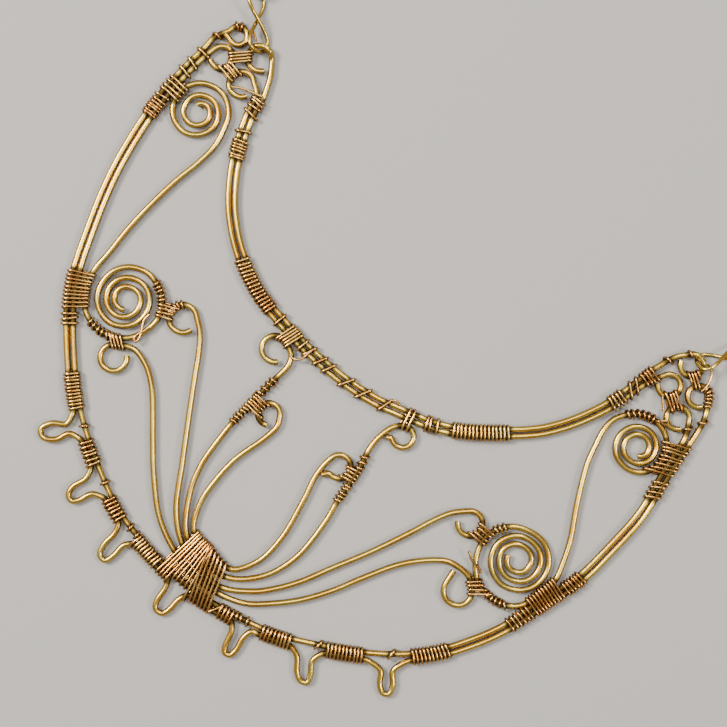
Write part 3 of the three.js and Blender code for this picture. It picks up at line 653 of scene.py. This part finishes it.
across = tree.attribute("across", "FLOAT_VECTOR")
along = tree.attribute("along", "FLOAT_VECTOR")
half = (high - low) * 0.5
roundness = (given["Rise"] / half) ** SQUARENESS


def rounded(wave):
    """A sine or cosine flattened so that the turn hugs several wires side by side."""
    return wave.maths("SIGN") * wave.maths("ABSOLUTE") ** roundness


def wander(offset, speed):
    """A slow unevenness from turn to turn, about zero. Each use has its own offset."""
    values = {"W": turn * speed + given["Seed"] + offset, "Scale": 1.0}
    return tree.node("ShaderNodeTexNoise", {"noise_dimensions": "1D"}, values) - 0.5


def scaled(vector, amount):
    return tree.node("ShaderNodeVectorMath", {"operation": "SCALE"}, {"Vector": vector, "Scale": amount})


def summed(one, other):
    return tree.node("ShaderNodeVectorMath", {"operation": "ADD"}, {0: one, 1: other})


sideways = rounded(phase.maths("COSINE"))
bulge = given["Unevenness"] * wander(3.1, 1.3) * STRAY + given["Slack"]
side = (high + low) * 0.5 + (half + bulge) * sideways
upper_half = phase.maths("SINE").maths("MAXIMUM", 0.0)
height = given["Rise"] * rounded(phase.maths("SINE")) + given["Lift"] * upper_half
lengthwise = given["Pitch"] * given["Unevenness"] * (
    wander(11.3, 0.9) * WANDER + sideways * wander(23.9, 0.7) * WANDER)
upright = tree.node("ShaderNodeCombineXYZ", values={"X": 0.0, "Y": 0.0, "Z": height})
offset = summed(summed(scaled(across, side), scaled(along, lengthwise)), upright)
helix = tree.node("GeometryNodeSetPosition", values={"Geometry": centre_line, "Offset": offset})
finish_shape(tree, swept(tree, helix, given), given["Finish"])


def sides_of(route, at, along, across):
    """The sides of a wire where it crosses the line across a point, at the crossing nearest the point."""
    forward = (route - at) @ along
    sideways = (route - at) @ across
    best = None
    for i in np.nonzero(forward[:-1] * forward[1:] <= 0)[0]:
        run = forward[i + 1] - forward[i]
        if run == 0:
            continue
        side = sideways[i] + (sideways[i + 1] - sideways[i]) * -forward[i] / run
        straight = abs(run) / np.linalg.norm(route[i + 1] - route[i])
        if best is None or abs(side) < abs(best[0]):
            best = (side, HUG / max(straight, STEEPEST))
    return best[0] - best[1], best[0] + best[1]


# Where the thin wire covers the bib's wires: point, along, across, low and high at each binding's stations.
covered = []


def wind(name, stations, turns, holds, unevenness, leans=(0.0, 0.0), slack=0.0, lift=0.0, replaced=()):
    """Winds the thin wire round the wires held, along the stations' line: (point, direction) pairs.

    The turns lean by so many degrees at the first station and so many at the last, and are lifted on top
    where they lie over other turns. Where the picot wire turns off to make a picot the winding lets it go.
    """
    lows, highs, acrosses, alongs, points = [], [], [], [], []
    for number, (at, along) in enumerate(stations):
        share = number / (len(stations) - 1)
        lean = math.radians(leans[0] + (leans[1] - leans[0]) * share)
        along = along * math.cos(lean) + np.cross((0, 0, 1), along) * math.sin(lean)
        across = np.cross((0, 0, 1), along)
        spans = {wire: sides_of(ROUTES[wire], at, along, across) for wire in holds}
        if "picot_wire" in spans and len(spans) > 1 and abs(sum(spans["picot_wire"])) / 2 > PICOT_AWAY:
            del spans["picot_wire"]
        sides = [side for span in spans.values() for side in span]
        points.append(at)
        lows.append(min(sides))
        highs.append(max(sides))
        acrosses.append(across)
        alongs.append(along)
        covered.append((at, along, across, lows[-1], highs[-1]))
    line = np.array(points)
    piece = make_piece(name + "_turns", line, wound_wire, {
        "Turns": float(turns), "Start": TURN_START, "Steps": TURN_STEPS, "Radius": THIN_WIRE / 2,
        "Sides": THIN_SIDES, "Rise": HUG, "Slack": slack, "Lift": lift, "Pitch": length_of(line) / turns,
        "Unevenness": unevenness, "Seed": len(bpy.data.objects) * SEED_STEP, "Finish": copper,
    }, {"low": lows, "high": highs, "across": acrosses, "along": alongs})
    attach(piece, "root")
    if replaced:
        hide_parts(*replaced)


def stations_along(line, start, end):
    """Places along the rim's or the neckline's middle line."""
    count = max(4, round((end - start) * length_of(line) / STATION_STEP))
    return [beside(line, start + (end - start) * i / count) for i in range(count + 1)]


def stations_between(start, end, count=8):
    """Places on the straight line between two points of the bib."""
    start, end = place(start), place(end)
    along = (end - start) / np.linalg.norm(end - start)
    return [(start + (end - start) * i / count, along) for i in range(count + 1)]


def stations_on(route, start, end):
    """Places on a wire, from its point nearest one place to its point nearest another."""
    first, last = sorted(int(np.linalg.norm(route - place(at), axis=1).argmin()) for at in (start, end))
    points = route[max(first - 1, 0):last + 2]
    runs = np.gradient(points, axis=0)
    return list(zip(points, runs / np.linalg.norm(runs, axis=1)[:, None]))


RIM_PAIR = ["rim_wire", "picot_wire"]
FAN_WIRES = ["fan_wire_1", "fan_wire_2", "fan_wire_3", "fan_wire_4"]
NECK_PAIR = ["neckline_lower", "neckline_upper"]
# name, from, to (shares of the line's length), turns, wires held, lean in degrees, unevenness
RIM_BINDINGS = [
    ("rim_binding_1", 0.032, 0.048, 4, [*RIM_PAIR, "left_scroll"], -4, 0.6),
    ("rim_binding_2", 0.0545, 0.071, 6, RIM_PAIR, -4, 0.6),
    ("rim_binding_3", 0.211, 0.243, 10, [*RIM_PAIR, "left_scroll"], 2, 0.4),
    ("rim_binding_4", 0.2955, 0.3265, 11, RIM_PAIR, -3, 0.4),
    ("rim_binding_5", 0.353, 0.375, 6, RIM_PAIR, -5, 0.5),
    ("rim_binding_6", 0.404, 0.4245, 6, RIM_PAIR, -5, 0.5),
    ("rim_binding_7", 0.441, 0.4715, 10, RIM_PAIR, -5, 0.4),
    ("rim_binding_8", 0.534, 0.5555, 6, RIM_PAIR, -4, 0.6),
    ("rim_binding_9", 0.5735, 0.6, 8, RIM_PAIR, -5, 0.5),
    ("rim_binding_10", 0.629, 0.6605, 10, RIM_PAIR, -4, 0.4),
    ("rim_binding_11", 0.7, 0.7315, 10, RIM_PAIR, 0, 0.3),
    ("rim_binding_12", 0.784, 0.8065, 6, RIM_PAIR, 0, 0.5),
    ("rim_binding_13", 0.808, 0.8365, 10, [*RIM_PAIR, "right_scroll"], 0, 0.3),
    ("rim_binding_14", 0.839, 0.857, 6, RIM_PAIR, 0, 0.6),
    ("rim_binding_15", 0.942, 0.9605, 4, RIM_PAIR, 15, 0.6),
    ("rim_binding_16", 0.9645, 0.994, 8, [*RIM_PAIR, "right_scroll"], 14, 0.7),
]
# The three groups of turns in the middle, each across rim and fan: name, from, to, turns, leans, lift
CENTRE_BINDINGS = [
    ("fan_binding_left", 0.4735, 0.4895, 5, (-3, -2), 0.0),
    ("fan_binding_middle", 0.4895, 0.507, 4, (-2, 8), 0.0),
    ("fan_binding_right", 0.507, 0.528, 6, (17, 8), 0.0003),
]
NECK_BINDINGS = [
    ("neckline_binding_1", 0.002, 0.02, 3, NECK_PAIR, -12, 0.8),
    ("neckline_binding_2", 0.07, 0.1, 6, NECK_PAIR, -8, 0.7),
    ("neckline_binding_3", 0.25, 0.34, 15, NECK_PAIR, -8, 0.5),
    ("neckline_binding_4", 0.3765, 0.399, 5, [*NECK_PAIR, "fan_wire_3"], -10, 0.6),
    ("neckline_binding_5", 0.596, 0.612, 2, [*NECK_PAIR, "fan_wire_3"], -5, 0.6),
    ("neckline_binding_6", 0.669, 0.7565, 15, NECK_PAIR, -4, 0.3),
    ("neckline_binding_7", 0.914, 0.939, 4, NECK_PAIR, -5, 0.6),
    ("neckline_binding_8", 0.974, 0.997, 4, NECK_PAIR, -5, 0.6),
]
# Single loose turns: line, share of its length, lean in degrees, unevenness
LOOSE_TURNS = [
    ("rim", 0.0025, 0, 0.6), ("rim", 0.0147, -12, 0.8), ("rim", 0.0239, -10, 0.7), ("rim", 0.0514, 3, 0.7),
    ("rim", 0.2475, 0, 0.5), ("rim", 0.2515, 3, 0.5), ("rim", 0.2555, -3, 0.5), ("rim", 0.3405, -18, 0.8),
    ("rim", 0.3908, -11, 0.8), ("rim", 0.4349, 4, 0.7), ("rim", 0.5315, -38, 0.5), ("rim", 0.5596, -5, 0.8),
    ("rim", 0.6202, -40, 0.8), ("rim", 0.6807, -42, 0.8),
    ("neckline", 0.0285, -22, 0.8), ("neckline", 0.0569, 5, 0.6), ("neckline", 0.359, -3, 0.6),
    ("neckline", 0.4095, -6, 0.8), ("neckline", 0.4235, -22, 0.8), ("neckline", 0.4448, -27, 0.8),
    ("neckline", 0.4615, -25, 0.8), ("neckline", 0.495, -36, 0.8), ("neckline", 0.5251, -37, 0.8),
    ("neckline", 0.5619, -32, 0.8), ("neckline", 0.6305, -1, 0.6), ("neckline", 0.636, 2, 0.6),
    ("neckline", 0.647, 1, 0.6), ("neckline", 0.951, -30, 0.6), ("neckline", 0.9625, -28, 0.6),
]
# Bindings between two places: name, from, to, turns, wires held. One that holds a single wire follows it.
CROSS_BINDINGS = [
    ("left_scroll_binding_1", (-0.371, 0.365), (-0.331, 0.367), 6, ["left_scroll"]),
    ("left_scroll_binding_2", (-0.3241, 0.5003), (-0.2995, 0.482), 5, ["left_scroll"]),
    ("right_scroll_binding_1", (0.384, 0.399), (0.412, 0.4075), 5, ["right_scroll"]),
    ("right_scroll_binding_2", (0.3887, 0.835), (0.4295, 0.855), 6, ["right_scroll"]),
    ("fan_1_left_binding", (-0.329, 0.3575), (-0.314, 0.376), 4, ["left_scroll", "fan_wire_1"]),
    ("fan_1_right_binding", (0.3559, 0.4128), (0.3697, 0.3876), 4, ["right_scroll", "fan_wire_1"]),
    ("fan_2_left_binding", (-0.291, 0.479), (-0.283, 0.452), 4, ["left_scroll", "fan_wire_2"]),
    ("fan_2_right_binding", (0.32, 0.4695), (0.3225, 0.503), 4, ["right_scroll", "fan_wire_2"]),
    ("fan_3_left_binding_1", (-0.0975, 0.377), (-0.094, 0.411), 5, ["fan_wire_3"]),
    ("fan_3_left_binding_2", (-0.0945, 0.414), (-0.0905, 0.445), 5, ["fan_wire_3", "fan_wire_4"]),
    ("fan_3_left_binding_3", (-0.089, 0.45), (-0.086, 0.485), 4, ["fan_wire_3"]),
    ("fan_3_right_binding_1", (0.106, 0.376), (0.105, 0.41), 5, ["fan_wire_3"]),
    ("fan_3_right_binding_2", (0.104, 0.414), (0.103, 0.444), 4, ["fan_wire_3", "fan_wire_4"]),
    ("fan_3_right_binding_3", (0.103, 0.448), (0.1, 0.472), 3, ["fan_wire_3"]),
    ("left_eyelet_binding_1", (-0.4322, 0.888), (-0.4265, 0.9125), 4, ["rim_wire", "neckline_lower"]),
    ("left_eyelet_binding_2", (-0.4364, 0.9416), (-0.4235, 0.9239), 4, ["rim_wire", "neckline_upper"]),
    ("right_eyelet_binding_1", (0.4294, 0.8911), (0.4419, 0.9103), 4, ["rim_wire", "neckline_lower"]),
    ("right_eyelet_binding_2", (0.4368, 0.9474), (0.4493, 0.965), 4, ["neckline_upper", "picot_wire"]),
    ("right_eyelet_binding_3", (0.4645, 0.959), (0.482, 0.934), 6, ["picot_wire"]),
]
# More turns on single wires, which no solid stands for: wire, from, to, turns
EXTRA_TURNS = [
    ("picot_wire", (-0.4787, 0.9436), (-0.4802, 0.936), 1),
    ("picot_wire", (-0.4636, 0.9765), (-0.456, 0.9815), 2),
    ("fan_wire_2", (-0.2812, 0.4707), (-0.2733, 0.4942), 5),
    ("right_scroll", (0.3254, 0.5122), (0.3392, 0.5245), 3),
    ("neckline_upper", (0.3895, 0.9535), (0.3915, 0.9585), 1),
    ("neckline_upper", (0.4063, 0.9965), (0.4105, 1.0), 1),
    ("rim_wire", (0.4761, 0.8701), (0.4775, 0.876), 1),
    ("picot_wire", (0.4905, 0.897), (0.492, 0.904), 1),
]


for line, bindings in ((rim, RIM_BINDINGS), (neckline, NECK_BINDINGS)):
    for name, start, end, turns, holds, lean, unevenness in bindings:
        stations = stations_along(line, start, end)
        wind(name, stations, turns, holds, unevenness, (lean, lean), replaced=[name])
for name, start, end, turns, leans, lift in CENTRE_BINDINGS:
    stations = stations_along(rim, start, end)
    holds = [*RIM_PAIR, *FAN_WIRES]
    wind(name, stations, turns, holds, CENTRE_UNEVENNESS, leans, lift=lift, replaced=[name])
for number, (label, share, lean, unevenness) in enumerate(LOOSE_TURNS, 1):
    line, holds = (rim, RIM_PAIR) if label == "rim" else (neckline, NECK_PAIR)
    stations = stations_along(line, share - LOOSE_REACH, share + LOOSE_REACH)
    wind(f"loose_turn_{number}", stations, 1, holds, unevenness, (lean, lean), slack=LOOSE_SLACK)
for name, start, end, turns, holds in CROSS_BINDINGS:
    stations = stations_between(start, end) if len(holds) > 1 else stations_on(ROUTES[holds[0]], start, end)
    wind(name, stations, turns, holds, CROSS_UNEVENNESS, replaced=[name])
for number, (wire, start, end, turns) in enumerate(EXTRA_TURNS, 1):
    wind(f"extra_turns_{number}", stations_on(ROUTES[wire], start, end), turns, [wire], EXTRA_UNEVENNESS)

# Thin wire's loose ends and crossing strands: short lengths of the same copper wire, left from the winding,
# that lie over the wires and turns that they cross.
STRANDS = [
    [
        (-0.3035, 0.443), (-0.3048, 0.4285), (-0.3007, 0.4157), (-0.2973, 0.407), (-0.2935, 0.392),
        (-0.2965, 0.385),
    ],
    [(-0.2965, 0.385), (-0.3005, 0.3905), (-0.2995, 0.4), (-0.295, 0.412), (-0.2915, 0.4235)],
    [(0.3175, 0.4464), (0.3297, 0.4362), (0.3460, 0.4320), (0.3531, 0.4268)],
    [(0.4319, 0.8563), (0.4425, 0.8555), (0.4523, 0.8581)],
    [(0.4325, 0.8515), (0.4425, 0.862), (0.4523, 0.8651)],
    [(-0.4139, 0.8772), (-0.3999, 0.8862), (-0.3854, 0.8911), (-0.3656, 0.897)],
    [(0.4145, 0.8969), (0.4225, 0.8862), (0.4307, 0.8739)],
    [(0.4419, 0.9942), (0.4516, 0.9912), (0.4591, 0.9791), (0.4612, 0.96), (0.4597, 0.9468)],
    [(-0.4394, 0.9858), (-0.4318, 0.98), (-0.4247, 0.9731)],
    [(-0.0895, 0.5395), (-0.0799, 0.5384), (-0.0708, 0.5489), (-0.068, 0.5632), (-0.0655, 0.5748)],
    [(0.079, 0.5846), (0.0853, 0.5902), (0.094, 0.5887)],
]
for number, points in enumerate(STRANDS, 1):
    line = smooth([place(point) + (0, 0, HUG) for point in points])
    piece = make_piece(f"strand_{number}", line, round_wire, {
        "Radius": THIN_WIRE / 2, "Sides": THIN_SIDES, "Finish": copper})
    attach(piece, "root")

# The bib's main wires themselves, with painted shade where the thin wire covers them. The painted shade
# fades out just outside each binding.
BINDING_SHADE_REACH = 0.0006
BINDING_SHADE_FADE = 0.0003

for name, route in ROUTES.items():
    bound = np.zeros(len(route))
    for at, along, across, low, high in covered:
        forward = (route - at) @ along
        sideways = (route - at) @ across
        apart = np.abs(forward)
        near = (apart < BINDING_SHADE_REACH) & (sideways > low) & (sideways < high)
        bound = np.maximum(bound, near * (1 - np.maximum(apart - (BINDING_SHADE_REACH - BINDING_SHADE_FADE), 0) / BINDING_SHADE_FADE))
    piece = make_piece(name + "_round", route, round_wire, {
        "Radius": WIRE_RADIUS, "Sides": WIRE_SIDES, "Finish": brass}, {"bound": bound})
    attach(piece, "root")
    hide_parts(name)

# The chain: figure-eight links of 0.7 mm brass wire, each through the next, leaning to one side and the
# other in turn, and the hook clasp at the back. One link's shape is set at each place along the route.
LINKS_PER_SIDE = 15
LINK_SEAT = 0.00015
LINK_STEPS = 56
LINK_PASS = 0.62
CHAIN_SIDES = 12
# How far inside a loop's own centre line the end of a link lies: both wires' radii and a small clearance.
SEAT_DEPTH = (WIRE + CHAIN_WIRE) * 0.55 + 1.8 * CLEARANCE
CHAIN_ROUTE = [
    (0.504, 1.105), (0.57, 1.295), (0.592, 1.505), (0.544, 1.747), (0.412, 1.942), (0.228, 2.063),
    (0.1, 2.105),
]
CLASP_PLACE = (0, 2.115)
CLASP_LOOP = 0.00225
CLASP_ANGLE = 40
CLASP_SPREAD = CLASP_LOOP / math.cos(math.radians(CLASP_ANGLE))

eight_links, tree, given = shape_tree("figure_eight_links", [
    ("Reach", "NodeSocketFloat"), ("Half Width", "NodeSocketFloat"), ("Pass", "NodeSocketFloat"),
    ("Radius", "NodeSocketFloat"), ("Sides", "NodeSocketInt"), ("Finish", "NodeSocketMaterial")])
ring = tree.node("GeometryNodeCurvePrimitiveCircle", values={"Resolution": LINK_STEPS, "Radius": 1.0})
swing = tree.node("GeometryNodeSplineParameter") * (2 * math.pi)
across_wave = (swing * 2).maths("SINE")
pass_wave = swing.maths("SINE")
eight_place = tree.node("ShaderNodeCombineXYZ", values={
    "X": given["Reach"] * swing.maths("COSINE"),
    "Y": given["Half Width"] * across_wave,
    "Z": given["Pass"] * pass_wave * pass_wave * pass_wave,
})
eight = tree.node("GeometryNodeSetPosition", values={"Geometry": ring, "Position": eight_place})
link = swept(tree, eight, given, caps=False)
turned = tree.attribute("turned", "FLOAT_VECTOR")
rotation = tree.node("FunctionNodeEulerToRotation", values={"Euler": turned})
links = tree.node("GeometryNodeInstanceOnPoints", values={
    "Points": given["Geometry"], "Instance": link, "Rotation": rotation})
finish_shape(tree, links, given["Finish"])


def seat_in(centre, radius, towards):
    """Where the end of the chain seats inside a loop, towards the way that it leaves."""
    away = (towards - centre) * (1, 1, 0)
    seat = centre + away / np.linalg.norm(away) * (radius - SEAT_DEPTH)
    return np.array((seat[0], seat[1], CHAIN_HEIGHT))


def chain_side(name, eyelet_name, side, first_lean):
    """One side's links, from the bib's end loop to the clasp."""
    route = [place((side * out, up)) * (1, 1, 0) + (0, 0, CHAIN_HEIGHT) for out, up in CHAIN_ROUTE]
    centre, radius = EYELETS[eyelet_name][:2]
    first_seat = seat_in(place(centre), radius / 1000, route[0])
    last_seat = seat_in(place(CLASP_PLACE) + (side * CLASP_SPREAD, 0, 0), CLASP_LOOP, route[-1])
    line = smooth([first_seat, *route, last_seat])
    length = length_of(line)
    # Neighbouring links' centre lines overlap by this much, so that each hangs in the next.
    overlap = CHAIN_WIRE - LINK_SEAT
    reach = (length + (LINKS_PER_SIDE - 1) * overlap) / LINKS_PER_SIDE
    middles, turned = [], []
    for i in range(LINKS_PER_SIDE):
        start = i * (reach - overlap)
        first, last = (beside(line, at / length)[0] for at in (start, start + reach))
        lean = -first_lean if i % 2 else first_lean
        heading = (last - first) / np.linalg.norm(last - first)
        level = np.cross((0, 0, 1), heading)
        across = level * math.cos(lean) + np.array((0, 0, math.sin(lean)))
        frame_of_link = Matrix((heading, across, np.cross(heading, across))).transposed()
        middles.append((first + last) / 2)
        turned.append(tuple(frame_of_link.to_euler()))
    piece = make_piece(name + "_links", np.array(middles), eight_links, {
        "Reach": reach / 2, "Half Width": LINK_HALF_WIDTH, "Pass": CHAIN_WIRE * LINK_PASS,
        "Radius": CHAIN_WIRE / 2, "Sides": CHAIN_SIDES, "Finish": brass,
    }, {"turned": turned})
    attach(piece, "root")
    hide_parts(name)


chain_side("chain_left", "neck_outer_left", -1, LINK_LEAN)
chain_side("chain_right", "neck_outer_right", 1, -LINK_LEAN)

# The hook clasp at the back: one length of 1 mm brass wire bent into an S, with a round loop for each side's
# last link and one slanting stretch between the loops.
CLASP_STEPS = 20

hook = []
for side in (1, -1):
    loop = []
    for i in range(CLASP_STEPS + 1):
        angle = math.radians(CLASP_ANGLE + (360 - 2 * CLASP_ANGLE) * i / CLASP_STEPS)
        x = side * (CLASP_LOOP * math.cos(angle) - CLASP_SPREAD)
        y = side * CLASP_LOOP * math.sin(angle)
        loop.append(place(CLASP_PLACE) * (1, 1, 0) + (x, y, CHAIN_HEIGHT))
    hook += loop if side == 1 else loop[::-1]
piece = make_piece("clasp_hook_round", smooth(hook), round_wire, {
    "Radius": WIRE / 2, "Sides": WIRE_SIDES, "Finish": brass})
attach(piece, "root")
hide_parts("clasp_hook")
